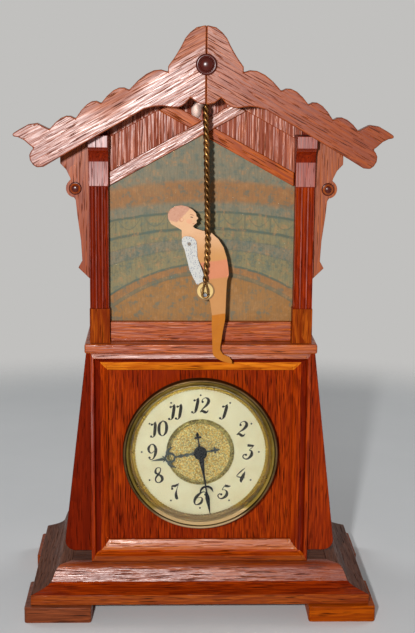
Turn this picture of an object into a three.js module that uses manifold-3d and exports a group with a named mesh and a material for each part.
// A shelf clock with a flat acrobat that turns on a bar above the dial.
// Millimetres. X runs to the right, Y from the front to the back, Z up.
// While it is being built, Y = 0 is the front face of the two pilasters.

import * as THREE from 'three';
import { mergeVertices } from 'three/addons/utils/BufferGeometryUtils.js';
import Module from 'manifold-3d';

const wasm = await Module();
wasm.setup();

// Clearances
const seam = 0.1;
const pressGap = 0.1;
const runGap = 0.35;
const overrun = 1;

// Feet and base
const footHeight = 11;
const footWidth = 44.5;
const footDepth = 46;
const footReach = 4;
const footRearReach = 2;
const footCorner = 2;
const baseReach = 39.6;
const baseFront = -26.5;
const baseRear = 108;
const fasciaHeight = 6.8;
const coveHeight = 5;
const coveDepth = 13.5;
const bandHeight = 9.7;
const bandDepth = 3;
const baseMouldingWidth = 26;

// Lower case, built round the clock
const panelMarginSide = 6.8;
const panelMarginTop = 3.2;
const panelMarginBottom = 11.1;
const caseWall = 8;
const caseRear = 96;
const frameFront = -3;
const frameDepth = 12.6;
const frameStile = 5.2;
const frameRail = 4;
const panelRecess = 7.5;
const panelThickness = 5;
const panelMouldingWidth = 9.2;
const panelMouldingCrown = 1.2;
const wingFront = 1.5;
const wingThickness = 9;
const wingTopReach = 2.8;
const wingFootReach = 18.2;
const wingLift = 6;
const wingCornerRadius = 7;

// Ledge
const ledgeThickness = 6.4;
const ledgeOverhang = 3.5;
const ledgeFront = -4.8;

// Back door
const doorThickness = 4.5;
const doorInset = 0.5;
const doorGap = 0.45;
const doorPinRadius = 1.2;
const doorKnobRadius = 5;
const doorKnobLength = 7;

// Stage
const plinthHeight = 23;
const plinthWidth = 13.2;
const plinthReach = 0.8;
const shaftInset = 0.6;
const fluteCount = 3;
const fluteRadius = 1.45;
const fluteDepth = 1.2;
const capitalHeight = 33.4;
const capitalReach = 1.2;
const capitalBlockHeight = 16;
const corbelReach = 9.5;
const corbelCoveHeight = 9.4;
const railHeight = 13;
const railFront = 5.6;
const railThickness = 5;
const boardThickness = 3;

// Gable and roof
const upperHeight = 177.7;
const roofSlope = 0.55;
const roofThickness = 6.9;
const eaveReach = 29.6;
const roofRear = 98;
const stripDrop = 36.8;
const stripWidth = 8;
const stripThickness = 3.7;
const rakeDepth = 10;
const rakeRise = 2;
const rakeStart = 14;
const bargeFront = -35.6;
const bargeThickness = 8;
const bargeReach = 44.5;
const ridgeOffset = 1.2;
const bargeCrest = 28;
const bargeDrop = 87;
const upperBackThickness = 4;
const upperBackInset = 6;
const gableButtonRadius = 6.6;
const gableButtonHeight = 4.6;
const gableButtonDrop = 23.6;

// Side brackets
const bracketFront = 5;
const bracketThickness = 6;
const bracketGap = 0.85;
const bracketReach = 18.5;
const bracketHeight = 84;
const bossRadius = 6.1;
const bossButtonRadius = 4.1;
const bossButtonHeight = 2.6;
const bossDrop = 24.6;
const bossOffset = 8.9;

// Dial and bezel
const bezelRadius = 52.1;
const bezelHeight = 12.3;
const bezelRimWidth = 4.4;
const bezelNeck = 2.1;
const sightInset = 8.5;
const glassInset = 4.9;
const glassThickness = 1.2;
const glassCrown = 3.4;
const dialInset = 6.5;
const dialThickness = 0.8;
const dialRise = 4.4;
const dialHoleRadius = 3.2;
const dialCentreRadius = 22.9;
const dialCentreRise = 0.5;
const dialRimWidth = 1.7;
const dialRimRise = 0.9;

// Hands
const hourHandInset = 11.9;
const hourHandTail = 13.3;
const minuteHandInset = 1.5;
const minuteHandTail = 15;
const handThickness = 0.6;
const handHalfWidth = 0.75;
const handHubRadius = 3.9;
const hourHandAngle = 260.1;
const minuteHandAngle = 170.9;

// Clock movement
const plateInset = 0.6;
const plateThickness = 1.5;
const plateSpan = 23;
const pillarRadius = 2.4;
const pillarInset = 5.5;
const centreArborRadius = 1;
const arborRadius = 0.8;
const wheelThickness = 1;
const motionModule = 0.75;
const hourModule = 0.6;
const centreModule = 0.6;
const thirdModule = 0.5;
const barrelModule = 0.9;
const barrelRadius = 16;
const barrelLength = 12.6;
const windingArborRadius = 2;
const keyBowLength = 22;
const keyBowHeight = 13;
const keyBowThickness = 3;
const keyReach = 30;
const knobRadius = 7;
const knobLength = 6;
const knobReach = 10;
const escapeRadius = 8;
const balanceRadius = 8.4;
const balanceRim = 1.4;

// Acrobat and ropes
const barOffset = 2;
const barHeight = 35.9;
const barRadius = 1.1;
const bodyFront = -13.2;
const bodyThickness = 1.2;
const armThickness = 1;
const flatGap = 0.5;
const shoulderX = -10.4;
const shoulderZ = 32.4;
const shoulderPinRadius = 1.1;
const figureHeight = 103;
const handRadius = 6.1;
const handRise = 1.8;
const ropeRadius = 1.9;
const ropeBow = 1.3;
const ropeEyeWire = 0.65;
const ropeEyeHeight = 8.2;
const hangerEyeHeight = 5;
const hangerDrop = 15;
const hangerRadius = 1.5;
const hangerPlateWidth = 9;
const hangerPlateHeight = 18;
const hangerPlateThickness = 1.2;
const hangerScrewRadius = 3.4;
const hangerScrewRise = 2;
const hangerOffset = -4.6;

// Drive of the acrobat, behind the backdrop
const driveHalfWidth = 26;
const driveBelow = 22;
const driveAbove = 52;
const driveSpan = 26;
const drivePlate = 1.2;
const drivePillarInset = 4;
const driveBarrelLength = 13.5;
const flyHalfWidth = 9.6;
const flyLength = 9;
const flyThickness = 0.8;

// Places and sizes worked out from the sizes above
const dialRadius = bezelRadius - dialInset;
const sightRadius = bezelRadius - sightInset;
const glassRadius = bezelRadius - glassInset;
const hourHandLength = dialRadius - hourHandInset;
const minuteHandLength = dialRadius - minuteHandInset;
const plateRadius = bezelRadius - plateInset;
const pillarCircle = plateRadius - pillarInset;
const caseHalfWidth = bezelRadius + panelMarginSide + panelMouldingWidth + seam + frameStile;
const dialDrop = bezelRadius + panelMarginTop + panelMouldingWidth + seam + frameRail;
const dialLift = bezelRadius + panelMarginBottom + panelMouldingWidth + seam + frameRail;
const caseHeight = dialDrop + dialLift;
const baseHalfWidth = caseHalfWidth + baseReach;
const mouldingBottom = footHeight + seam;
const baseTop = mouldingBottom + fasciaHeight + coveHeight + bandHeight;
const caseBottom = baseTop + seam;
const caseTop = caseBottom + caseHeight;
const ledgeBottom = caseTop + seam;
const ledgeTop = ledgeBottom + ledgeThickness;
const ledgeHalfWidth = caseHalfWidth + ledgeOverhang;
const frameBack = frameFront + frameDepth;
const sideFront = frameBack + seam;
const panelFront = frameFront + panelRecess;
const panelBack = panelFront + panelThickness;
const dialZ = caseTop - dialDrop;
const stageFloor = ledgeTop + seam;
const plinthTop = stageFloor + plinthHeight;
const plinthInner = caseHalfWidth - plinthWidth;
const roofRise = ledgeTop + upperHeight;
const roofHalfSpan = caseHalfWidth + eaveReach;
const stripRise = roofRise - stripDrop;
const bargeHalfSpan = caseHalfWidth + bargeReach;
const bargePeak = roofRise + bargeCrest;
const hangerZ = roofRise - hangerDrop;
const capitalBottom = roofUnderside(caseHalfWidth) - runGap - capitalHeight;
const shaftTop = capitalBottom - seam;
const bracketTop = roofUnderside(caseHalfWidth + bracketReach) - bracketGap;
const bracketBottom = bracketTop - bracketHeight;
const boardFront = railFront + railThickness + seam;
const boardBack = boardFront + boardThickness;
const innerHalfWidth = caseHalfWidth - caseWall;
const barX = barOffset;
const barZ = ledgeTop + barHeight;
const bodyBack = bodyFront + bodyThickness;
const frontArmBack = bodyFront - flatGap;
const rearArmFront = bodyBack + flatGap;
const frontRopeY = frontArmBack - armThickness - flatGap - ropeRadius;
const rearRopeY = rearArmFront + armThickness + flatGap + ropeRadius;
const bargeBack = bargeFront + bargeThickness;
const foremost = bargeFront - gableButtonHeight;
const rearmost = baseRear + footRearReach;
const centreY = (foremost + rearmost) / 2;

// Finishes
function finish(color, roughness, metalness, extra = {}) {
  return new THREE.MeshStandardMaterial({ color, roughness, metalness, ...extra });
}

const darkWood = finish(0x7a2c0c, 0.45, 0);
const redWood = finish(0x96400f, 0.4, 0);
const paleWood = finish(0xb07a62, 0.4, 0);
const turnedWood = finish(0x3c0d08, 0.2, 0);
const paintedCard = finish(0x8f8a66, 0.8, 0);
const creamPaper = finish(0xe2d9ad, 0.6, 0);
const brass = finish(0xb08a3c, 0.3, 1);
const bronze = finish(0x6b5124, 0.35, 1);
const steel = finish(0x9a9a98, 0.3, 1);
const bluedSteel = finish(0x10131f, 0.3, 1);
const figurePaint = finish(0xd98f5a, 0.6, 0);
const sleevePaint = finish(0xd8d6d0, 0.6, 0);
const clearGlass = finish(0xf4f8f8, 0.05, 0, { transparent: true, opacity: 0.3 });

const clock = new THREE.Group();
clock.position.y = -centreY;

function place(name, geometry, material) {
  const mesh = new THREE.Mesh(geometry, material);
  mesh.name = name;
  clock.add(mesh);
  return mesh;
}

// Keeps only the positions, joins shared corners and turns the faces outwards
function closedGeometry(geometry) {
  const plain = geometry.clone();
  plain.deleteAttribute('normal');
  plain.deleteAttribute('uv');
  const merged = mergeVertices(plain, 1e-4);
  const position = merged.getAttribute('position');
  const kept = [];
  let volume = 0;
  const a = new THREE.Vector3();
  const b = new THREE.Vector3();
  const c = new THREE.Vector3();
  for (let i = 0; i < merged.index.count; i += 3) {
    const [p, q, r] = [0, 1, 2].map((k) => merged.index.getX(i + k));
    if (p === q || q === r || r === p) continue;
    kept.push(p, q, r);
    a.fromBufferAttribute(position, p);
    b.fromBufferAttribute(position, q);
    c.fromBufferAttribute(position, r);
    volume += a.dot(b.cross(c));
  }
  if (volume < 0) kept.reverse();
  merged.setIndex(kept);
  return merged;
}

function toSolid(geometry) {
  const closed = closedGeometry(geometry);
  return new wasm.Manifold(new wasm.Mesh({
    numProp: 3,
    vertProperties: Float32Array.from(closed.getAttribute('position').array),
    triVerts: Uint32Array.from(closed.index.array),
  }));
}

function toGeometry(solid) {
  const mesh = solid.getMesh();
  const geometry = new THREE.BufferGeometry();
  geometry.setAttribute('position', new THREE.BufferAttribute(mesh.vertProperties, 3));
  geometry.setIndex(new THREE.BufferAttribute(mesh.triVerts, 1));
  geometry.computeVertexNormals();
  return geometry;
}

function join(...geometries) {
  return toGeometry(geometries.map(toSolid).reduce((sum, piece) => sum.add(piece)));
}

function cut(geometry, ...tools) {
  return toGeometry(tools.map(toSolid).reduce((rest, tool) => rest.subtract(tool), toSolid(geometry)));
}

function asVectors(points) {
  return points.map(([x, y]) => new THREE.Vector2(x, y));
}

function shapeOf(points, holes = []) {
  const shape = new THREE.Shape(asVectors(points));
  shape.holes = holes.map((hole) => new THREE.Path(asVectors(hole)));
  return shape;
}

// An outline in X and Z made as thick as the way from its front to its back
function slab(points, front, back, holes = []) {
  const options = { depth: back - front, bevelEnabled: false };
  const geometry = new THREE.ExtrudeGeometry(shapeOf(points, holes), options);
  geometry.rotateX(Math.PI / 2);
  geometry.translate(0, back, 0);
  return geometry;
}

// An outline in X and Y raised from its bottom to its top
function block(points, bottom, top, holes = []) {
  const options = { depth: top - bottom, bevelEnabled: false };
  const geometry = new THREE.ExtrudeGeometry(shapeOf(points, holes), options);
  geometry.translate(0, 0, bottom);
  return geometry;
}

function box(x0, x1, y0, y1, z0, z1) {
  const geometry = new THREE.BoxGeometry(x1 - x0, y1 - y0, z1 - z0);
  geometry.translate((x0 + x1) / 2, (y0 + y1) / 2, (z0 + z1) / 2);
  return geometry;
}

// A profile of radius and depth turned about an axis that runs front to back
function turned(profile, x, z, segments) {
  const points = profile.map(([radius, y]) => new THREE.Vector2(radius, y));
  const geometry = closedGeometry(new THREE.LatheGeometry(points, segments));
  geometry.translate(x, 0, z);
  return geometry;
}

function rod(radius, front, back, x, z, segments = 16) {
  return turned([[0, front], [radius, front], [radius, back], [0, back]], x, z, segments);
}

function arc(cx, cy, rx, ry, fromDegrees, toDegrees, steps) {
  return Array.from({ length: steps + 1 }, (_, i) => {
    const angle = THREE.MathUtils.degToRad(fromDegrees + (toDegrees - fromDegrees) * i / steps);
    return [cx + rx * Math.cos(angle), cy + ry * Math.sin(angle)];
  });
}

function circle(cx, cy, radius, steps) {
  return arc(cx, cy, radius, radius, 0, 360, steps).slice(0, steps);
}

// A soft curve between two points, drawn towards a third, without its last point
function bend([x0, z0], pull, [x1, z1], steps) {
  const curve = new THREE.QuadraticBezierCurve(new THREE.Vector2(x0, z0), pull, new THREE.Vector2(x1, z1));
  return curve.getPoints(steps).slice(0, -1).map((point) => [point.x, point.y]);
}

function mirrored(points) {
  return points.map(([x, y]) => [-x, y]).reverse();
}

function sideways(points, side) {
  return side < 0 ? mirrored(points) : points;
}

function box2(x0, x1, z0, z1) {
  return [[x0, z0], [x1, z0], [x1, z1], [x0, z1]];
}

// A profile carried from one end to the other, with an end of any slant
function mouldedBar(profile, startOf, endOf) {
  const ordered = THREE.ShapeUtils.isClockWise(asVectors(profile)) ? profile.toReversed() : profile;
  const caps = THREE.ShapeUtils.triangulateShape(asVectors(ordered), []);
  const corners = [...ordered.map(startOf), ...ordered.map(endOf)].flat();
  const count = ordered.length;
  const faces = [];
  for (const [a, b, c] of caps) {
    faces.push(a, b, c, count + c, count + b, count + a);
  }
  for (let i = 0; i < count; i += 1) {
    const next = (i + 1) % count;
    faces.push(next, i, count + i, next, count + i, count + next);
  }
  const geometry = new THREE.BufferGeometry();
  geometry.setAttribute('position', new THREE.Float32BufferAttribute(corners, 3));
  geometry.setIndex(faces);
  return closedGeometry(geometry);
}

const sides = [[-1, 'left'], [1, 'right']];

// Base: four feet, a board and three mitred mouldings
function addFeet() {
  const outer = baseHalfWidth + footReach;
  const rows = [['front', baseFront - footReach], ['rear', baseRear + footRearReach - footDepth]];
  for (const [side, sideName] of sides) {
    for (const [rowName, y] of rows) {
      const x0 = outer - footWidth;
      const corners = [
        ...arc(outer - footCorner, y + footCorner, footCorner, footCorner, -90, 0, 3),
        ...arc(outer - footCorner, y + footDepth - footCorner, footCorner, footCorner, 0, 90, 3),
        ...arc(x0 + footCorner, y + footDepth - footCorner, footCorner, footCorner, 90, 180, 3),
        ...arc(x0 + footCorner, y + footCorner, footCorner, footCorner, 180, 270, 3),
      ];
      place(`foot_${rowName}_${sideName}`, block(sideways(corners, side), 0, footHeight), redWood);
    }
  }
}

const coveSagShares = [0.5, 0.26];

// From the outside inwards: a plain fascia, a cove and a rounded band
function baseProfile() {
  const coveBottom = mouldingBottom + fasciaHeight;
  const bandBottom = coveBottom + coveHeight;
  const sag = new THREE.Vector2(coveDepth * coveSagShares[0], coveBottom + coveHeight * coveSagShares[1]);
  const cove = bend([0, coveBottom], sag, [coveDepth, bandBottom], 5);
  const band = arc(coveDepth + bandDepth, bandBottom, bandDepth, bandHeight, 180, 90, 6);
  return [
    [0, mouldingBottom],
    ...cove,
    ...band,
    [baseMouldingWidth, baseTop],
    [baseMouldingWidth, mouldingBottom],
  ];
}

function addBase() {
  const profile = baseProfile();
  const frontEnd = (side) => ([u, z]) => [side * (baseHalfWidth - u - seam), baseFront + u, z];
  place('base_moulding_front', mouldedBar(profile, frontEnd(-1), frontEnd(1)), redWood);
  for (const [side, sideName] of sides) {
    const mitre = ([u, z]) => [side * (baseHalfWidth - u), baseFront + u + seam, z];
    const rear = ([u, z]) => [side * (baseHalfWidth - u), baseRear, z];
    place(`base_moulding_${sideName}`, mouldedBar(profile, mitre, rear), redWood);
  }
  const half = baseHalfWidth - baseMouldingWidth - seam;
  const front = baseFront + baseMouldingWidth + seam;
  place('base_board', box(-half, half, front, baseRear, mouldingBottom, baseTop), darkWood);
}

// Lower case: a thin frame, a mitred moulding and a sunk panel with the hole for the clock
const frameInner = caseHalfWidth - frameStile;
const frameInnerBottom = caseBottom + frameRail;
const frameInnerTop = caseTop - frameRail;

function addFront() {
  const outer = box2(-caseHalfWidth, caseHalfWidth, caseBottom, caseTop);
  const inner = box2(-frameInner, frameInner, frameInnerBottom, frameInnerTop);
  place('front_frame', slab(outer, frameFront, frameBack, [inner]), redWood);
  const panel = box2(-frameInner + seam, frameInner - seam, frameInnerBottom + seam, frameInnerTop - seam);
  const hole = circle(0, dialZ, dialRadius + overrun, 48);
  place('front_panel', slab(panel, panelFront, panelBack, [hole]), redWood);
  place('panel_moulding', panelMoulding(), redWood);
}

// A sloping moulding carried round the four sides of the panel
function panelMoulding() {
  const back = panelFront - seam;
  const width = panelMouldingWidth;
  const profileShares = [
    [0, 1], [0, 0], [0.14, -0.12], [0.3, 0.04], [0.62, 0.62], [0.82, 0.72], [1, 0.8], [1, 1],
  ];
  const profile = profileShares.map(([u, v]) => [u * width, frameFront + panelMouldingCrown * v
    + (back - frameFront - panelMouldingCrown) * Math.max(v, 0)]);
  const halfWidth = frameInner - seam;
  const bottom = frameInnerBottom + seam;
  const top = frameInnerTop - seam;
  const corners = [[-1, -1], [1, -1], [1, 1], [-1, 1]];
  const rings = corners.map(([sx, sz]) => profile.map(([u, y]) => [
    sx * (halfWidth - u), y, sz < 0 ? bottom + u : top - u]));
  const count = profile.length;
  const faces = [];
  rings.forEach((_, side) => {
    const here = side * count;
    const there = ((side + 1) % corners.length) * count;
    for (let i = 0; i < count; i += 1) {
      const next = (i + 1) % count;
      faces.push(here + i, here + next, there + next, here + i, there + next, there + i);
    }
  });
  const geometry = new THREE.BufferGeometry();
  geometry.setAttribute('position', new THREE.Float32BufferAttribute(rings.flat(2), 3));
  geometry.setIndex(faces);
  return closedGeometry(geometry);
}

function roofUnderside(x) {
  return roofRise - roofSlope * Math.abs(x);
}

// The side boards run from the base to the roof, and the ledge is notched round them
function addSides() {
  for (const [side, sideName] of sides) {
    const outline = [
      [innerHalfWidth, caseBottom],
      [caseHalfWidth, caseBottom],
      [caseHalfWidth, roofUnderside(caseHalfWidth) - seam],
      [innerHalfWidth, roofUnderside(innerHalfWidth) - seam],
    ];
    place(`case_side_${sideName}`, slab(sideways(outline, side), sideFront, caseRear), darkWood);
    const inner = caseHalfWidth + seam;
    const foot = caseBottom + wingLift;
    const footX = caseHalfWidth + wingFootReach;
    const wing = [
      [inner, foot],
      ...arc(
        footX - wingCornerRadius, foot + wingCornerRadius,
        wingCornerRadius, wingCornerRadius, -90, 0, 5,
      ),
      [caseHalfWidth + wingTopReach, caseTop],
      [inner, caseTop],
    ];
    place(`wing_${sideName}`, slab(sideways(wing, side), wingFront, wingFront + wingThickness), redWood);
  }
}

function addLedge() {
  const slotInner = innerHalfWidth - seam;
  const slotOuter = caseHalfWidth + seam;
  const slotFront = sideFront - seam;
  const half = [
    [ledgeHalfWidth, ledgeFront],
    [ledgeHalfWidth, caseRear],
    [slotOuter, caseRear],
    [slotOuter, slotFront],
    [slotInner, slotFront],
    [slotInner, caseRear],
  ];
  place('ledge', block([...half, ...mirrored(half)], ledgeBottom, ledgeTop), redWood);
}

// The back door turns on one long pin near its right-hand edge
function addBackDoor() {
  const back = caseRear - doorInset;
  const middle = back - doorThickness / 2;
  const pinX = innerHalfWidth - doorGap - doorThickness / 2;
  const free = -innerHalfWidth + doorGap;
  const plan = [
    [free, middle - doorThickness / 2],
    ...arc(pinX, middle, doorThickness / 2, doorThickness / 2, -90, 90, 8),
    [free, back],
  ];
  const bore = circle(pinX, middle, doorPinRadius + runGap, 16);
  const leaf = block(plan, caseBottom + doorGap, caseTop - doorGap, [bore]);
  const knobX = free + doorKnobRadius * 2;
  const knobZ = (caseBottom + caseTop) / 2;
  const knob = turned([
    [0, back - doorThickness / 2],
    [doorKnobRadius / 2, back - doorThickness / 2],
    [doorKnobRadius / 2, back + doorKnobLength / 3],
    [doorKnobRadius, back + doorKnobLength / 2],
    [doorKnobRadius, back + doorKnobLength * 0.8],
    [doorKnobRadius / 2, back + doorKnobLength],
    [0, back + doorKnobLength],
  ], knobX, knobZ, 16);
  place('back_door', join(leaf, knob), darkWood);
  const pin = new THREE.CylinderGeometry(doorPinRadius, doorPinRadius, caseHeight - seam * 2, 12);
  pin.rotateX(Math.PI / 2);
  pin.translate(pinX, middle, (caseBottom + caseTop) / 2);
  place('door_pin', pin, brass);
}

// Pilasters: a plain plinth and a shaft with flutes in its face
function fluteEdge(inner, outer) {
  const pitch = (outer - inner) / fluteCount;
  const points = [];
  for (let i = 0; i < fluteCount; i += 1) {
    const centre = inner + pitch * (i + 0.5);
    points.push(...arc(centre, 0, fluteRadius, fluteDepth, 180, 0, 4));
  }
  return points;
}

function addPilasters() {
  const inner = plinthInner + shaftInset;
  const outer = caseHalfWidth - shaftInset / 2;
  const plan = [[inner, 0], ...fluteEdge(inner, outer), [outer, 0], [outer, frameBack], [inner, frameBack]];
  for (const [side, sideName] of sides) {
    const shaft = block(sideways(plan, side), plinthTop - overrun, shaftTop);
    const plinthPlan = sideways(box2(plinthInner, caseHalfWidth, -plinthReach, frameBack), side);
    const plinth = block(plinthPlan, stageFloor, plinthTop);
    place(`pilaster_${sideName}`, join(shaft, plinth), redWood);
    place(`capital_${sideName}`, capital(side), redWood);
  }
}

// A block that curves forward into the corbel under the roof
function capital(side) {
  const front = -capitalReach;
  const coveBottom = capitalBottom + capitalBlockHeight;
  const top = capitalBottom + capitalHeight;
  const cove = arc(-corbelReach, coveBottom, corbelReach - capitalReach, corbelCoveHeight, 0, 90, 7);
  const profile = [
    [frameBack, capitalBottom],
    [front, capitalBottom],
    ...cove,
    [-corbelReach, top],
    [frameBack, top],
  ];
  const at = (x) => ([y, z]) => [side * x, y, z];
  return mouldedBar(profile, at(plinthInner + shaftInset / 2), at(caseHalfWidth));
}

function stripLine(x) {
  return stripRise - roofSlope * Math.abs(x);
}

// Rail, backdrop, gable and the two crossed strips
function addStage() {
  const railHalf = plinthInner - seam;
  const railTop = stageFloor + railHeight;
  const rail = box(-railHalf, railHalf, railFront, railFront + railThickness, stageFloor, railTop);
  place('stage_rail', rail, redWood);
  const half = innerHalfWidth - seam;
  const pentagon = [
    [-half, stageFloor],
    [half, stageFloor],
    [half, stripLine(half) - seam],
    [0, stripRise - seam],
    [-half, stripLine(half) - seam],
  ];
  const bushHole = circle(barX, barZ, barRadius * 4, 20);
  place('backdrop', slab(pentagon, boardFront, boardBack, [bushHole]), paintedCard);
  const gable = [
    [-half, stripLine(half)],
    [0, stripRise],
    [half, stripLine(half)],
    [half, roofUnderside(half) - seam],
    [0, roofRise - seam],
    [-half, roofUnderside(half) - seam],
  ];
  const rakes = sides.map(
    ([side]) => slab(sideways(rakeOutline(), side), boardFront - rakeRise, boardFront + overrun),
  );
  place('gable_panel', join(slab(gable, boardFront, boardBack), ...rakes), darkWood);
  addStrips();
  const back = caseRear - upperBackInset;
  const wall = [
    [-half, stageFloor],
    [half, stageFloor],
    [half, roofUnderside(half) - seam],
    [0, roofRise - seam],
    [-half, roofUnderside(half) - seam],
  ];
  const keyHole = circle(motorX, motorZ, windingArborRadius * 3, 20);
  place('upper_back', slab(wall, back - upperBackThickness, back, [keyHole]), darkWood);
}

// A strip under the roof on the gable panel
function rakeOutline() {
  const end = plinthInner - seam;
  return [
    [rakeStart, roofUnderside(rakeStart) - rakeDepth],
    [end, roofUnderside(end) - rakeDepth],
    [end, roofUnderside(end) - seam],
    [rakeStart, roofUnderside(rakeStart) - seam],
  ];
}

// The strips cross at the middle with a halved joint and end under the strips below the roof
function addStrips() {
  const halfHeight = stripWidth / 2 * Math.hypot(1, roofSlope);
  const low = plinthInner - seam;
  const front = railFront + railThickness - stripThickness;
  const back = boardFront - seam;
  const middle = (front + back) / 2;
  const meeting = roofRise - rakeDepth - seam * 2 - stripRise;
  const lowerReach = (meeting + halfHeight) / roofSlope / 2;
  const upperReach = (meeting - halfHeight) / roofSlope / 2;
  const outline = (grow) => [
    [-low, stripRise - roofSlope * low - halfHeight - grow],
    [lowerReach, stripRise + roofSlope * lowerReach - halfHeight - grow],
    [upperReach, stripRise + roofSlope * upperReach + halfHeight + grow],
    [-low, stripRise - roofSlope * low + halfHeight + grow],
  ];
  const rising = slab(outline(0), front, back);
  const falling = slab(mirrored(outline(0)), front, back);
  const rearCut = slab(mirrored(outline(seam)), middle - seam / 2, back + overrun);
  const frontCut = slab(outline(seam), front - overrun, middle + seam / 2);
  place('gable_strip_left', cut(rising, rearCut), paleWood);
  place('gable_strip_right', cut(falling, frontCut), redWood);
}

function addRoof() {
  for (const [side, sideName] of sides) {
    const board = [
      [seam, roofUnderside(seam)],
      [roofHalfSpan, roofUnderside(roofHalfSpan)],
      [roofHalfSpan, roofUnderside(roofHalfSpan) + roofThickness],
      [seam, roofUnderside(seam) + roofThickness],
    ];
    place(`roof_board_${sideName}`, slab(sideways(board, side), bargeBack + seam, roofRear), redWood);
    const material = side < 0 ? paleWood : redWood;
    place(`bargeboard_${sideName}`, slab(bargeOutline(side), bargeFront, bargeBack), material);
  }
  const radius = gableButtonRadius;
  const profile = [
    [0, bargeFront - seam],
    [radius, bargeFront - seam],
    [radius, bargeFront - gableButtonHeight * 0.25],
    [radius * 0.86, bargeFront - gableButtonHeight * 0.42],
    [radius * 0.76, bargeFront - gableButtonHeight * 0.4],
    [radius * 0.64, bargeFront - gableButtonHeight * 0.74],
    [radius * 0.36, bargeFront - gableButtonHeight * 0.95],
    [0, bargeFront - gableButtonHeight],
  ];
  place('gable_button', turned(profile, ridgeOffset, bargePeak - gableButtonDrop, 24), turnedWood);
}

// Right-hand half of the carved edge, as shares of the half span and of the drop
const crestShares = [
  [0, 1], [0.05, 0.985], [0.083, 0.95], [0.108, 0.91], [0.117, 0.885], [0.131, 0.848],
  [0.146, 0.813], [0.168, 0.766], [0.186, 0.734], [0.196, 0.714],
];
const cuspShares = [[0.196, 0.676], [0.397, 0.548], [0.542, 0.454], [0.674, 0.346], [0.81, 0.27]];
const lobeShares = [
  [0.872, 0.312], [0.92, 0.302], [0.965, 0.268], [1, 0.238], [0.998, 0.219], [0.972, 0.214], [0.94, 0.192],
  [0.912, 0.158], [0.893, 0.139], [0.906, 0.116], [0.915, 0.088], [0.912, 0.052], [0.897, 0.02], [0.877, 0],
];
const lowerShares = [
  [0.842, 0.005], [0.744, 0.084], [0.5, 0.275], [0.371, 0.374], [0.318, 0.416], [0.27, 0.433],
  [0.228, 0.438], [0.178, 0.428], [0.146, 0.428], [0.126, 0.436], [0.104, 0.458], [0.08, 0.497],
  [0.062, 0.478], [0.044, 0.46], [0.02, 0.452], [0, 0.45],
];
const scallopBulgeShare = 0.42;
const scallopRiseShare = 0.062;

function bargeOutline(side) {
  const mitre = ridgeOffset + side * seam / 2;
  const toReal = ([u, v]) => [mitre + u * (side * bargeHalfSpan - mitre), bargePeak - bargeDrop * (1 - v)];
  const upper = crestShares.map(toReal);
  for (let i = 0; i + 1 < cuspShares.length; i += 1) {
    const start = toReal(cuspShares[i]);
    const end = toReal(cuspShares[i + 1]);
    const bulgeX = start[0] + (end[0] - start[0]) * scallopBulgeShare;
    const bulge = new THREE.Vector2(bulgeX, start[1] + bargeDrop * scallopRiseShare);
    upper.push(...bend(start, bulge, end, 5));
  }
  upper.push(toReal(cuspShares.at(-1)));
  return [...upper, ...lobeShares.map(toReal), ...lowerShares.map(toReal)].reverse();
}

// Fretted brackets beside the pilasters, each with a round boss and a button
function addBrackets() {
  const inner = caseHalfWidth + seam;
  const bossX = caseHalfWidth + bossOffset;
  const bossZ = bracketTop - bossDrop;
  const point = (u, v) => [caseHalfWidth + bracketReach * u, bracketBottom + bracketHeight * v];
  const outline = [
    [inner, bracketBottom],
    point(0.4, 0.085),
    point(0.26, 0.14),
    point(0.3, 0.3),
    point(0.42, 0.5),
    point(0.47, 0.615),
    ...arc(bossX, bossZ, bossRadius, bossRadius, -82, 62, 10),
    point(0.66, 0.79),
    point(0.79, 0.85),
    point(1, 0.9),
    point(1, 0.985),
    [inner, roofUnderside(inner) - seam],
  ];
  const button = [
    [0, bracketFront + overrun],
    [bossButtonRadius, bracketFront + overrun],
    [bossButtonRadius, bracketFront - bossButtonHeight * 0.25],
    [bossButtonRadius * 0.8, bracketFront - bossButtonHeight * 0.6],
    [bossButtonRadius * 0.45, bracketFront - bossButtonHeight * 0.92],
    [0, bracketFront - bossButtonHeight],
  ];
  for (const [side, sideName] of sides) {
    const board = slab(sideways(outline, side), bracketFront, bracketFront + bracketThickness);
    place(`bracket_${sideName}`, join(board, turned(button, side * bossX, bossZ, 16)), redWood);
  }
}

// Bezel: a flange on the panel, a rounded rim and a sloping sight ring
const bezelFront = panelFront - seam - bezelHeight;
const dialFront = panelFront - dialRise;
const dialBack = dialFront + dialThickness;
const glassSeat = bezelFront + bezelHeight * 0.24;

const rimShares = [[0, 0.4], [0, 0.3], [0.14, 0.16], [0.42, 0.03], [0.7, 0], [1, 0.06]];

function addBezel() {
  const lip = dialFront - seam * 4;
  const rear = panelFront - seam;
  const rim = rimShares.map(([u, v]) => [bezelRadius - bezelRimWidth * u, bezelFront + bezelHeight * v]);
  const profile = [
    [dialRadius + overrun * 2, rear],
    [bezelRadius - bezelNeck, rear],
    [bezelRadius - bezelNeck, rear - bezelHeight * 0.45],
    ...rim,
    [glassRadius + pressGap * 3, glassSeat],
    [glassRadius - overrun, glassSeat + pressGap],
    [sightRadius, lip - pressGap * 2],
    [sightRadius, lip],
    [dialRadius + overrun * 2, lip],
  ];
  place('bezel', turned([...profile, profile[0]], 0, dialZ, 56), bronze);
  const edge = glassSeat - pressGap;
  const glass = [
    [0, edge - glassThickness - glassCrown],
    [glassRadius * 0.36, edge - glassThickness - glassCrown * 0.9],
    [glassRadius * 0.72, edge - glassThickness - glassCrown * 0.55],
    [glassRadius, edge - glassThickness],
    [glassRadius, edge],
    [glassRadius * 0.72, edge - glassCrown * 0.55],
    [glassRadius * 0.36, edge - glassCrown * 0.9],
    [0, edge - glassCrown],
  ];
  place('dial_glass', turned(glass, 0, dialZ, 40), clearGlass);
}

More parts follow.
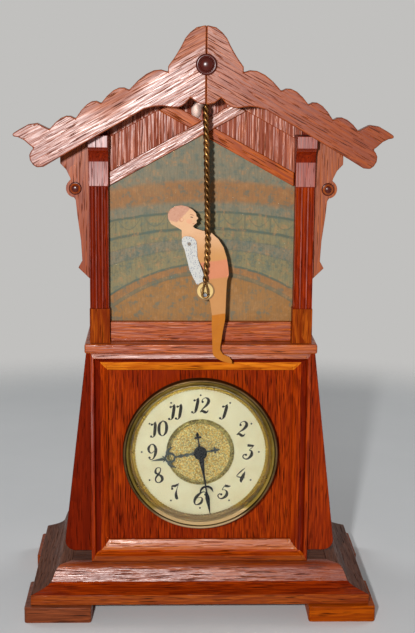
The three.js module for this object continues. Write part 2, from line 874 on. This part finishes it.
// The dial has a raised centre with a rim round it
function addDial() {
  const rimInner = dialCentreRadius - dialRimWidth;
  const profile = [
    [dialHoleRadius, dialBack],
    [dialRadius, dialBack],
    [dialRadius, dialFront],
    [dialCentreRadius, dialFront],
    [dialCentreRadius - dialRimWidth * 0.3, dialFront - dialRimRise],
    [rimInner, dialFront - dialRimRise],
    [rimInner - dialRimWidth * 0.3, dialFront - dialCentreRise],
    [dialHoleRadius, dialFront - dialCentreRise],
  ];
  place('dial', turned([...profile, profile[0]], 0, dialZ, 48), creamPaper);
}

// Toothed outline: thin pointed teeth, so that meshing wheels keep clear of each other
const addendumShare = 0.8;
const dedendumShare = 1.15;
const rootHalfShare = 0.24;

function gear(teeth, module, toothAngle, x, z) {
  const radius = teeth * module / 2;
  const tip = radius + module * addendumShare;
  const root = radius - module * dedendumShare;
  const pitch = 2 * Math.PI / teeth;
  const points = [];
  for (let i = 0; i < teeth; i += 1) {
    const angle = toothAngle + pitch * i;
    for (const [share, reach] of [[-rootHalfShare, root], [0, tip], [rootHalfShare, root]]) {
      points.push([x + reach * Math.cos(angle + share * pitch), z + reach * Math.sin(angle + share * pitch)]);
    }
  }
  return points;
}

function polar(x, z, distance, degrees) {
  const angle = THREE.MathUtils.degToRad(degrees);
  return [x + distance * Math.cos(angle), z + distance * Math.sin(angle)];
}

// A driving wheel points a tooth along the line of centres, and the pinion a gap
function meshAngles(degrees, pinionTeeth) {
  const along = THREE.MathUtils.degToRad(degrees);
  return { wheel: along, pinion: along + Math.PI + Math.PI / pinionTeeth };
}

const motionTeeth = { cannon: 8, minuteWheel: 24, minutePinion: 8, hourWheel: 32 };
const trainTeeth = {
  greatWheel: 48, centrePinion: 8, centreWheel: 45, thirdPinion: 6, thirdWheel: 48, escapePinion: 6,
};
const escapeTeeth = 15;
const driveTeeth = { motorWheel: 48, barPinion: 8, barWheel: 40, flyPinion: 8 };
const motionDistance = motionModule * (motionTeeth.cannon + motionTeeth.minuteWheel) / 2;
const thirdDistance = centreModule * (trainTeeth.centreWheel + trainTeeth.thirdPinion) / 2;
const escapeDistance = thirdModule * (trainTeeth.thirdWheel + trainTeeth.escapePinion) / 2;
const greatDistance = barrelModule * (trainTeeth.greatWheel + trainTeeth.centrePinion) / 2;
const flyDistance = thirdModule * (driveTeeth.barWheel + driveTeeth.flyPinion) / 2;
const directions = {
  minuteWheel: 200, third: 50, escape: 120, great: -90, motor: 90, fly: -90, balance: 180,
};

const [minuteX, minuteZ] = polar(0, dialZ, motionDistance, directions.minuteWheel);
const [thirdX, thirdZ] = polar(0, dialZ, thirdDistance, directions.third);
const [escapeX, escapeZ] = polar(thirdX, thirdZ, escapeDistance, directions.escape);
const [greatX, greatZ] = polar(0, dialZ, greatDistance, directions.great);
const balanceDistance = balanceRadius + arborRadius + runGap;
const [balanceX, balanceZ] = polar(escapeX, escapeZ, balanceDistance, directions.balance);
const [motorX, motorZ] = polar(barX, barZ, greatDistance, directions.motor);
const [flyX, flyZ] = polar(barX, barZ, flyDistance, directions.fly);

const plateFront = panelBack + seam;
const plateInner = plateFront + plateThickness;
const backPlateFront = plateInner + plateSpan;
const backPlateBack = backPlateFront + plateThickness;
const motionGap = 0.6;
const hourWheelFront = dialBack + motionGap;
const hourWheelBack = hourWheelFront + wheelThickness;
const minuteWheelFront = hourWheelBack + motionGap;
const minuteWheelBack = minuteWheelFront + wheelThickness;
const hourHandBack = dialFront - dialRimRise - motionGap;
const hourHandFront = hourHandBack - handThickness;
const minuteHandBack = hourHandFront - motionGap * 2;
const minuteHandFront = minuteHandBack - handThickness;
const hourPipeRadius = 2.6;
const hourPipeBore = 1.6;

function addPlates() {
  const pivots = [
    [0, dialZ, centreArborRadius],
    [thirdX, thirdZ, arborRadius],
    [escapeX, escapeZ, arborRadius],
    [balanceX, balanceZ, arborRadius],
    [greatX, greatZ, windingArborRadius],
  ];
  const holes = pivots.map(([x, z, radius]) => circle(x, z, radius + runGap, 12));
  const rim = circle(0, dialZ, plateRadius, 40);
  const front = slab(rim, plateFront, plateInner, holes);
  const pillars = [45, 135, 225, 315].map((degrees) => {
    const [x, z] = polar(0, dialZ, pillarCircle, degrees);
    return rod(pillarRadius, plateInner - plateThickness / 2, backPlateFront - seam, x, z, 10);
  });
  const stud = rod(
    arborRadius, minuteWheelFront - motionGap, plateInner - plateThickness / 2, minuteX, minuteZ, 10,
  );
  place('movement_front_plate', join(front, ...pillars, stud), brass);
  place('movement_back_plate', slab(rim, backPlateFront, backPlateBack, holes), brass);
}

// Motion work between the dial and the front plate
function addMotionWork() {
  const hourMesh = meshAngles(directions.minuteWheel, motionTeeth.minutePinion);
  const hourGear = gear(motionTeeth.hourWheel, hourModule, hourMesh.wheel, 0, dialZ);
  const hourBore = circle(0, dialZ, hourPipeBore, 16);
  const hourWheel = slab(hourGear, hourWheelFront, hourWheelBack, [hourBore]);
  const pipe = slab(
    circle(0, dialZ, hourPipeRadius, 16), hourHandFront, hourWheelFront + wheelThickness / 2,
    [hourBore],
  );
  place('hour_wheel', join(hourWheel, pipe), brass);
  const reversed = directions.minuteWheel + 180;
  const wheelMesh = meshAngles(reversed, motionTeeth.cannon);
  const bore = circle(minuteX, minuteZ, arborRadius + runGap, 12);
  const wheel = slab(gear(motionTeeth.minuteWheel, motionModule, wheelMesh.wheel, minuteX, minuteZ),
    minuteWheelFront, minuteWheelBack, [bore]);
  const pinion = slab(gear(motionTeeth.minutePinion, hourModule, hourMesh.pinion, minuteX, minuteZ),
    hourWheelFront, minuteWheelFront + wheelThickness / 2, [bore]);
  place('minute_wheel', join(wheel, pinion), brass);
  return wheelMesh.pinion;
}

// Centre arbor: hand seat, cannon pinion, centre pinion and wheel, and the setting knob behind
function addCentreArbor(cannonAngle) {
  const thirdMesh = meshAngles(directions.third, trainTeeth.thirdPinion);
  const greatMesh = meshAngles(directions.great + 180, trainTeeth.centrePinion);
  const cannon = slab(
    gear(motionTeeth.cannon, motionModule, cannonAngle, 0, dialZ), minuteWheelFront, minuteWheelBack,
  );
  const wheel = slab(
    gear(trainTeeth.centreWheel, centreModule, thirdMesh.wheel, 0, dialZ), centreWheelFront,
    centreWheelBack,
  );
  const pinion = slab(gear(trainTeeth.centrePinion, barrelModule, greatMesh.pinion, 0, dialZ),
    greatWheelFront - wheelThickness, greatWheelBack + wheelThickness);
  const knobFront = backPlateBack + knobReach;
  const shaft = rod(
    centreArborRadius, minuteHandFront - handThickness * 2, knobFront + overrun, 0, dialZ, 14,
  );
  const nut = rod(
    centreArborRadius * 2, minuteHandFront - handThickness * 2, minuteHandFront - pressGap, 0, dialZ,
    14,
  );
  const knob = slab(circle(0, dialZ, knobRadius, 16), knobFront, knobFront + knobLength);
  place('centre_arbor', join(shaft, nut, cannon, wheel, pinion, knob), brass);
}

const centreWheelFront = plateInner + runGap * 5;
const centreWheelBack = centreWheelFront + wheelThickness;
const thirdWheelFront = centreWheelBack + runGap * 8;
const thirdWheelBack = thirdWheelFront + wheelThickness;
const escapeWheelFront = thirdWheelBack + runGap * 8;
const escapeWheelBack = escapeWheelFront + wheelThickness;
const greatWheelBack = backPlateFront - runGap * 10;
const greatWheelFront = greatWheelBack - wheelThickness * 2;
const balanceFront = escapeWheelBack + runGap * 10;

function arborThrough(x, z) {
  return rod(arborRadius, plateFront + seam, backPlateBack - seam, x, z, 10);
}

function addTrain() {
  const thirdMesh = meshAngles(directions.third, trainTeeth.thirdPinion);
  const escapeMesh = meshAngles(directions.escape, trainTeeth.escapePinion);
  const greatMesh = meshAngles(directions.great + 180, trainTeeth.centrePinion);
  const thirdPinion = slab(gear(trainTeeth.thirdPinion, centreModule, thirdMesh.pinion, thirdX, thirdZ),
    centreWheelFront - wheelThickness, centreWheelBack + wheelThickness);
  const thirdWheel = slab(gear(trainTeeth.thirdWheel, thirdModule, escapeMesh.wheel, thirdX, thirdZ),
    thirdWheelFront, thirdWheelBack);
  place('third_wheel', join(arborThrough(thirdX, thirdZ), thirdPinion, thirdWheel), brass);
  const escapePinion = slab(gear(trainTeeth.escapePinion, thirdModule, escapeMesh.pinion, escapeX, escapeZ),
    thirdWheelFront - wheelThickness, thirdWheelBack + wheelThickness);
  const escapeModule = escapeRadius * 2 / escapeTeeth;
  const escapeWheel = slab(
    gear(escapeTeeth, escapeModule * 0.8, 0, escapeX, escapeZ), escapeWheelFront, escapeWheelBack,
  );
  place('escape_wheel', join(arborThrough(escapeX, escapeZ), escapePinion, escapeWheel), brass);
  const greatBore = circle(greatX, greatZ, windingArborRadius + runGap, 14);
  const greatWheel = slab(gear(trainTeeth.greatWheel, barrelModule, greatMesh.wheel, greatX, greatZ),
    greatWheelFront, greatWheelBack, [greatBore]);
  const barrel = slab(circle(greatX, greatZ, barrelRadius, 28), greatWheelFront - barrelLength,
    greatWheelFront + wheelThickness, [greatBore]);
  place('great_wheel', join(greatWheel, barrel), brass);
}

// A plain ring with one arm across, on its staff
function addBalance() {
  const inner = balanceRadius - balanceRim;
  const upper = arc(balanceX, balanceZ + balanceRim / 2, inner, inner - balanceRim / 2, 0, 180, 10);
  const lower = arc(balanceX, balanceZ - balanceRim / 2, inner, inner - balanceRim / 2, 180, 360, 10);
  const rim = slab(
    circle(balanceX, balanceZ, balanceRadius, 28), balanceFront, balanceFront + balanceRim,
    [upper, lower],
  );
  place('balance', join(arborThrough(balanceX, balanceZ), rim), brass);
}

// Winding arbor with its key, reached through the back door
function addWindingKey() {
  const bowFront = backPlateBack + keyReach - keyBowHeight;
  const shaft = rod(windingArborRadius, plateFront + seam, bowFront + overrun, greatX, greatZ, 12);
  const bow = box(greatX - keyBowLength / 2, greatX + keyBowLength / 2, bowFront, bowFront + keyBowHeight,
    greatZ - keyBowThickness / 2, greatZ + keyBowThickness / 2);
  place('winding_key', join(shaft, bow), steel);
}

// Hands: a tapering bar with an open ornament, a hub and a tail
function handOutline(length, tail, loopAt, loopRadius, degrees) {
  const w = handHalfWidth;
  const right = [
    [w, handHubRadius * 0.9],
    [w, loopAt - loopRadius * 1.3],
    ...arc(0, loopAt, loopRadius, loopRadius * 1.35, -60, 60, 6),
    [w * 1.2, loopAt + loopRadius * 1.7],
    [w * 0.5, length * 0.97],
    [0, length],
  ];
  const left = mirrored(right).slice(1);
  const tailEnd = [
    [-w, -handHubRadius * 0.9], [-w * 2, -tail * 0.86], [0, -tail], [w * 2, -tail * 0.86],
    [w, -handHubRadius * 0.9],
  ];
  const hubLeft = arc(0, 0, handHubRadius, handHubRadius, 102, 258, 6);
  const hubRight = arc(0, 0, handHubRadius, handHubRadius, -78, 78, 6);
  const turn = THREE.MathUtils.degToRad(-degrees);
  const swing = ([x, z]) => [
    x * Math.cos(turn) - z * Math.sin(turn),
    dialZ + x * Math.sin(turn) + z * Math.cos(turn),
  ];
  const loopHole = arc(0, loopAt, loopRadius * 0.6, loopRadius * 0.85, 0, 360, 10).slice(0, -1);
  return {
    edge: [...right, ...left, ...hubLeft, ...tailEnd, ...hubRight].map(swing),
    hole: loopHole.map(swing),
  };
}

function addHands() {
  const hour = handOutline(
    hourHandLength, hourHandTail, hourHandLength * 0.6, handHubRadius * 0.85, hourHandAngle,
  );
  const hourBore = circle(0, dialZ, hourPipeRadius + pressGap, 16);
  place('hour_hand', slab(hour.edge, hourHandFront, hourHandBack, [hour.hole, hourBore]), bluedSteel);
  const minute = handOutline(
    minuteHandLength, minuteHandTail, minuteHandLength * 0.54, handHubRadius * 0.7, minuteHandAngle,
  );
  const minuteBore = circle(0, dialZ, centreArborRadius + pressGap, 14);
  place(
    'minute_hand', slab(minute.edge, minuteHandFront, minuteHandBack, [minute.hole, minuteBore]),
    bluedSteel,
  );
}

// The bar turns in a bush, and both hands and arms turn with it
function addBar() {
  const motorMesh = meshAngles(directions.motor + 180, driveTeeth.barPinion);
  const flyMesh = meshAngles(directions.fly, driveTeeth.flyPinion);
  const shaft = rod(
    barRadius, frontRopeY - ropeRadius - overrun, driveBackPlate + drivePlate - seam, barX, barZ, 14,
  );
  const pinion = slab(gear(driveTeeth.barPinion, barrelModule, motorMesh.pinion, barX, barZ),
    motorWheelFront - wheelThickness, motorWheelBack + wheelThickness);
  const wheel = slab(
    gear(driveTeeth.barWheel, thirdModule, flyMesh.wheel, barX, barZ), barWheelFront, barWheelBack,
  );
  place('trapeze_bar', join(shaft, pinion, wheel), steel);
}

const driveFront = boardBack + seam;
const driveBackPlate = driveFront + drivePlate + driveSpan;
const motorWheelFront = driveFront + drivePlate + driveBarrelLength + runGap * 3;
const motorWheelBack = motorWheelFront + wheelThickness * 2;
const barWheelFront = motorWheelBack + runGap * 8;
const barWheelBack = barWheelFront + wheelThickness;

// Drive: a frame of two plates, a spring barrel with its wheel, and a fly
function addDrive() {
  const plate = [
    [barX - driveHalfWidth, barZ - driveBelow],
    [barX + driveHalfWidth, barZ - driveBelow],
    [barX + driveHalfWidth, barZ + driveAbove],
    [barX - driveHalfWidth, barZ + driveAbove],
  ];
  const holes = [
    circle(barX, barZ, barRadius + runGap, 14),
    circle(motorX, motorZ, windingArborRadius + runGap, 14),
    circle(flyX, flyZ, arborRadius + runGap, 10),
  ];
  const front = slab(plate, driveFront, driveFront + drivePlate, holes);
  const back = slab(plate, driveBackPlate, driveBackPlate + drivePlate, holes);
  const inset = drivePillarInset;
  const pillars = [-1, 1].flatMap((side) => [
    barZ - driveBelow + inset, barZ + driveAbove - inset,
  ].map((z) => rod(pillarRadius, driveFront + drivePlate / 2, driveBackPlate + drivePlate / 2,
    barX + side * (driveHalfWidth - inset), z, 10)));
  const bushHole = circle(barX, barZ, barRadius + runGap, 14);
  const bush = slab(circle(barX, barZ, barRadius * 3, 20), boardFront - wheelThickness,
    driveFront + drivePlate / 2, [bushHole]);
  place('drive_frame', join(front, back, bush, ...pillars), brass);

  const motorMesh = meshAngles(directions.motor + 180, driveTeeth.barPinion);
  const motorWheel = slab(gear(driveTeeth.motorWheel, barrelModule, motorMesh.wheel, motorX, motorZ),
    motorWheelFront, motorWheelBack);
  const barrel = rod(
    barrelRadius, motorWheelFront - driveBarrelLength, motorWheelFront + wheelThickness, motorX,
    motorZ, 28,
  );
  const keyEnd = caseRear - upperBackInset - upperBackThickness - overrun;
  const square = rod(windingArborRadius, driveFront + seam, keyEnd, motorX, motorZ, 8);
  place('motor_barrel', join(motorWheel, barrel, square), brass);

  const flyMesh = meshAngles(directions.fly, driveTeeth.flyPinion);
  const flyPinion = slab(gear(driveTeeth.flyPinion, thirdModule, flyMesh.pinion, flyX, flyZ),
    barWheelFront - wheelThickness, barWheelBack + wheelThickness);
  const staff = rod(arborRadius, driveFront + seam, driveBackPlate + drivePlate - seam, flyX, flyZ, 10);
  const vaneFront = driveFront + drivePlate + runGap * 4;
  const vane = box(flyX - flyHalfWidth, flyX + flyHalfWidth, vaneFront, vaneFront + flyLength,
    flyZ - flyThickness / 2, flyZ + flyThickness / 2);
  place('fly', join(staff, flyPinion, vane), brass);
}

// The acrobat is cut from sheet; its points are shares of the height, from the shoulder pin
const trunkShares = [
  [-0.047, 0.085], [-0.046, 0.02], [-0.023, -0.042], [0.012, -0.073], [0.062, -0.108], [0.087, -0.155],
  [0.113, -0.206], [0.13, -0.25], [0.127, -0.285], [0.1155, -0.3155], [0.124, -0.345], [0.135, -0.375],
  [0.146, -0.457], [0.144, -0.533], [0.149, -0.616],
  [0.151, -0.69], [0.158, -0.718], [0.18, -0.736], [0.218, -0.755], [0.273, -0.768], [0.276, -0.752],
  [0.259, -0.727], [0.218, -0.709], [0.2, -0.68], [0.2, -0.655], [0.207, -0.616], [0.216, -0.552],
  [0.229, -0.485], [0.232, -0.393], [0.235, -0.297], [0.239, -0.23], [0.25, -0.195], [0.244, -0.138],
  [0.235, -0.087], [0.215, -0.023], [0.183, 0.028], [0.138, 0.069], [0.078, 0.083], [0.034, 0.097],
];
const armBackShares = [
  [-0.02, 0.049], [-0.036, 0.045], [-0.046, 0.03], [-0.046, 0.005], [-0.028, -0.04], [-0.007, -0.122],
  [0.001, -0.159], [0.021, -0.204], [0.046, -0.253],
];
const armFrontShares = [
  [0.091, -0.195], [0.082, -0.167], [0.061, -0.113], [0.051, -0.08], [0.049, -0.023], [0.044, 0.018],
  [0.03, 0.035], [0.008, 0.046],
];
const wristDegrees = [137, 464];
const headCentreShares = [-0.044, 0.166];
const headLengthShare = 0.092;
const headDepthShare = 0.073;
const headTilt = -14;
const neckGapDegrees = [232, 328];
const profileShares = [[352, 0.06], [2, -0.02], [14, 0.1], [22, -0.01], [36, 0.03]];

function headPoints(centre) {
  const tilt = THREE.MathUtils.degToRad(headTilt);
  const [neckBack, neckFront] = neckGapDegrees;
  const bumps = new Map(profileShares);
  const angles = [neckFront, 342, 352, 362, 374, 382, 396, 415, 440, 465, 490, 515, 540, 565, neckBack + 360];
  return angles.map((degrees) => {
    const bump = 1 + (bumps.get(degrees % 360) ?? 0);
    const angle = THREE.MathUtils.degToRad(degrees);
    const u = Math.cos(angle) * headLengthShare * figureHeight * bump;
    const v = Math.sin(angle) * headDepthShare * figureHeight * bump;
    return [
      centre[0] + u * Math.cos(tilt) - v * Math.sin(tilt),
      centre[1] + u * Math.sin(tilt) + v * Math.cos(tilt),
    ];
  });
}

function addAcrobat() {
  const sx = barX + shoulderX;
  const sz = barZ + shoulderZ;
  const fromShoulder = ([u, v]) => [sx + u * figureHeight, sz + v * figureHeight];
  const outline = [...trunkShares.map(fromShoulder), ...headPoints(fromShoulder(headCentreShares))];
  const pinHole = circle(sx, sz, shoulderPinRadius + runGap, 14);
  place('acrobat_body', slab(outline, bodyFront, bodyBack, [pinHole]), figurePaint);

  const arm = [
    ...armBackShares.map(fromShoulder),
    ...arc(barX, barZ + handRise, handRadius, handRadius, ...wristDegrees, 16),
    ...armFrontShares.map(fromShoulder),
  ];
  const barHole = circle(barX, barZ, barRadius + pressGap, 14);
  const frontArm = slab(arm, frontArmBack - armThickness, frontArmBack, [barHole]);
  const pin = rod(
    shoulderPinRadius, frontArmBack - armThickness * 1.4, rearArmFront + armThickness, sx, sz, 12,
  );
  place('arm_front', join(frontArm, pin), sleevePaint);
  const rearPinHole = circle(sx, sz, shoulderPinRadius + pressGap, 12);
  place(
    'arm_rear', slab(arm, rearArmFront, rearArmFront + armThickness, [barHole, rearPinHole]),
    sleevePaint,
  );
}

// Ropes of twisted wire hang from a rod under the ridge and end in an eye round the bar
function rope(y) {
  const hangerX = barX - ropeBow / 2;
  const shaftBottom = barZ + ropeEyeHeight;
  const shaftTop = hangerZ - hangerEyeHeight;
  const length = shaftTop - shaftBottom;
  const path = new THREE.CatmullRomCurve3([
    new THREE.Vector3(hangerX, y, shaftTop + overrun),
    new THREE.Vector3(barX + ropeBow * 0.3, y, shaftTop - length * 0.3),
    new THREE.Vector3(barX + ropeBow, y, shaftTop - length * 0.75),
    new THREE.Vector3(barX, y, shaftBottom - overrun),
  ]);
  const section = shapeOf(circle(0, 0, ropeRadius, 7));
  const shaft = new THREE.ExtrudeGeometry(section, { steps: 12, bevelEnabled: false, extrudePath: path });
  const eye = wireEye(barX, y, barZ, barRadius, ropeEyeHeight);
  const hook = wireEye(hangerX, y, hangerZ, hangerRadius, -hangerEyeHeight);
  return join(shaft, eye, hook);
}

// A drop-shaped eye that goes round a bar and draws together where the rope begins
function wireEye(x, y, z, innerRadius, height) {
  const radius = innerRadius + runGap + ropeEyeWire;
  const turn = Math.sign(height);
  const around = arc(x, 0, radius, radius, 165, 375, 9).map(
    ([u, v]) => new THREE.Vector3(u, y, z + v * turn),
  );
  const tip = new THREE.Vector3(x, y, z + height);
  const path = new THREE.CatmullRomCurve3([...around, tip], true);
  return new THREE.TubeGeometry(path, 20, ropeEyeWire, 5, true);
}

function addRopes() {
  place('rope_front', rope(frontRopeY), bronze);
  place('rope_rear', rope(rearRopeY), bronze);
  const rodX = barX - ropeBow / 2;
  const plateBack = boardFront - seam;
  const plateFrontY = plateBack - hangerPlateThickness;
  const pinRod = rod(
    hangerRadius, frontRopeY - ropeRadius - overrun, plateBack - hangerPlateThickness / 2, rodX,
    hangerZ, 12,
  );
  const screwX = hangerOffset;
  const screwZ = hangerZ - hangerPlateHeight / 2;
  const strap = box(
    screwX - hangerPlateWidth / 2, rodX + hangerPlateWidth / 2, plateFrontY, plateBack,
    screwZ + hangerScrewRadius, hangerZ + hangerRadius * 2,
  );
  const tab = rod(hangerScrewRadius * 0.9, plateFrontY, plateBack, screwX, screwZ, 14);
  const tabNeck = box(
    screwX - hangerScrewRadius * 0.8, screwX + hangerScrewRadius * 0.8, plateFrontY, plateBack,
    screwZ, screwZ + hangerScrewRadius * 2,
  );
  const head = turned([
    [0, plateFrontY + hangerPlateThickness / 2],
    [hangerScrewRadius, plateFrontY + hangerPlateThickness / 2],
    [hangerScrewRadius, plateFrontY - hangerScrewRise * 0.4],
    [hangerScrewRadius * 0.6, plateFrontY - hangerScrewRise * 0.9],
    [0, plateFrontY - hangerScrewRise],
  ], screwX, screwZ, 14);
  place('rope_hanger', join(pinRod, strap, tab, tabNeck, head), brass);
}

addFeet();
addBase();
addFront();
addSides();
addLedge();
addBackDoor();
addPilasters();
addStage();
addRoof();
addBrackets();
addBezel();
addDial();
addPlates();
addCentreArbor(addMotionWork());
addTrain();
addBalance();
addWindingKey();
addHands();
addBar();
addDrive();
addAcrobat();
addRopes();

export default clock;
